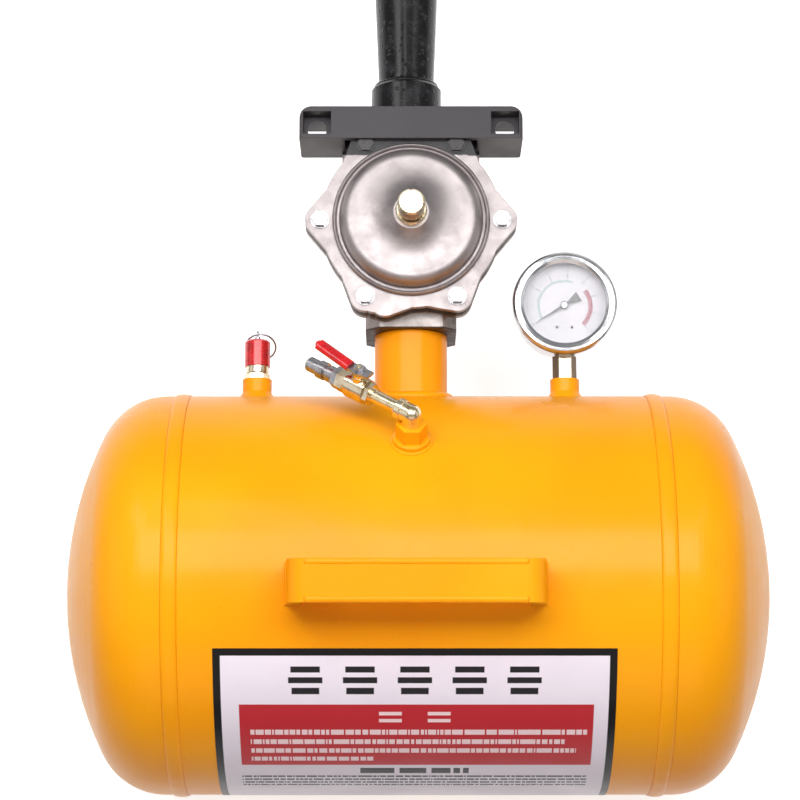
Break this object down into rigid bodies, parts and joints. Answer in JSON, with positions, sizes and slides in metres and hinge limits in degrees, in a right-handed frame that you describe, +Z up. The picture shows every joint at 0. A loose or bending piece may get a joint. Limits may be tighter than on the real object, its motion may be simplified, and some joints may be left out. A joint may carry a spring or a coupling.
{
  "type": "bead seater blaster tank",
  "caption": "Portable air tank with a diaphragm dump valve and blast barrel that seats tyre beads; gauge, relief valve, ball-valve inlet, carry handle and feet.",
  "frame": {"origin": "on the floor, under the centre of the whole object's box", "axes": "+X along the tank's axis to the gauge end, +Y along the barrel towards the nozzle, +Z up"},
  "size_m": [0.457, 0.8219, 0.3285],
  "materials": {
    "tank_paint": "gloss enamel, yellow-orange",
    "black_paint": "gloss black enamel",
    "cast_aluminium": "as-cast, tumbled",
    "cover_aluminium": "satin pressing",
    "zinc_steel": "zinc plated",
    "polished_steel": "polished stainless",
    "spring_steel": "drawn wire",
    "brass": "turned",
    "nickel_brass": "nickel plated",
    "black_rubber": "matt",
    "red_vinyl": "dipped vinyl",
    "red_anodised": "red lacquer on aluminium",
    "seat_plastic": "white PTFE",
    "gauge_glass": "clear",
    "dial_face": "matt white print",
    "pointer_black": "matt black",
    "label_print": "laminated vinyl sticker"
  },
  "bodies": {
    "tank": {"tank_shell": "tank_paint", "left_head": "tank_paint", "right_head": "tank_paint", "girth_welds": "tank_paint", "neck_pipe": "tank_paint", "neck_weld": "tank_paint", "safety_boss": "tank_paint", "gauge_boss": "tank_paint", "inlet_boss": "tank_paint", "drain_boss": "tank_paint", "carry_handle": "tank_paint", "left_foot": "tank_paint", "right_foot": "tank_paint", "barrel_bracket": "black_paint", "bracket_screws": "black_paint", "barrel_collar": "black_paint", "barrel_pipe": "black_paint", "nozzle": "black_paint", "valve_body": "cast_aluminium", "valve_cover": "cover_aluminium", "foot_screws": "zinc_steel", "cover_bolts": "zinc_steel", "quick_plug": "zinc_steel", "gauge_case": "polished_steel", "gauge_bezel": "polished_steel", "diaphragm_spring": "spring_steel", "pilot_spring": "spring_steel", "safety_spring": "spring_steel", "drain_plug": "brass", "inlet_elbow": "brass", "packing_nut": "brass", "gauge_movement": "brass", "bourdon_tube": "brass", "ball_valve_body": "nickel_brass", "safety_body": "nickel_brass", "gauge_stem": "nickel_brass", "pilot_housing": "nickel_brass", "foot_pads": "black_rubber", "diaphragm": "black_rubber", "outlet_gasket": "black_rubber", "gauge_vent_plug": "black_rubber", "safety_cap": "red_anodised", "ball_seats": "seat_plastic", "gauge_lens": "gauge_glass", "gauge_dial": "dial_face", "dial_screws": "pointer_black", "label": "label_print"},
    "lever": {"ball": "polished_steel", "valve_stem": "brass", "lever": "zinc_steel", "lever_sleeve": "red_vinyl", "lever_nut": "zinc_steel"},
    "button": {"pilot_button": "nickel_brass", "pilot_poppet": "black_rubber"},
    "diaphragm_disc": {"diaphragm_disc": "zinc_steel"},
    "pointer": {"gauge_pointer": "pointer_black"},
    "relief_stem": {"safety_stem": "zinc_steel"},
    "pull_ring": {"pull_ring": "zinc_steel"}
  },
  "joints": [
    {"name": "lever_turn", "type": "hinge", "parent": "tank", "child": "lever", "pos_m": [-0.03747, -0.15773, 0.26828], "axis": [0, 0.6293, 0.7771], "range_deg": [0, 90]},
    {"name": "button_press", "type": "slide", "parent": "tank", "child": "button", "axis": [0, 0, -1], "range_m": [0, 0.004], "stiffness_N_per_m": 1500, "springref_m": -0.002, "deforming": ["pilot_spring"]},
    {"name": "diaphragm_lift", "type": "slide", "parent": "tank", "child": "diaphragm_disc", "axis": [0, 0, 1], "range_m": [0, 0.006], "stiffness_N_per_m": 800, "springref_m": -0.003, "deforming": ["diaphragm_spring", "diaphragm"]},
    {"name": "pointer_turn", "type": "hinge", "parent": "tank", "child": "pointer", "pos_m": [0.098, -0.08535, 0.168], "axis": [0, 0, -1], "range_deg": [0, 257], "stiffness_Nm_per_rad": 0.0005, "springref_deg": -17.19},
    {"name": "relief_lift", "type": "slide", "parent": "tank", "child": "relief_stem", "axis": [0, 1, 0], "range_m": [0, 0.003], "stiffness_N_per_m": 4000, "springref_m": -0.004, "deforming": ["safety_spring"]},
    {"name": "ring_swing", "type": "hinge", "parent": "relief_stem", "child": "pull_ring", "pos_m": [-0.107, -0.10355, 0.16], "axis": [1, 0, 0], "range_deg": [0, 270]}
  ]
}
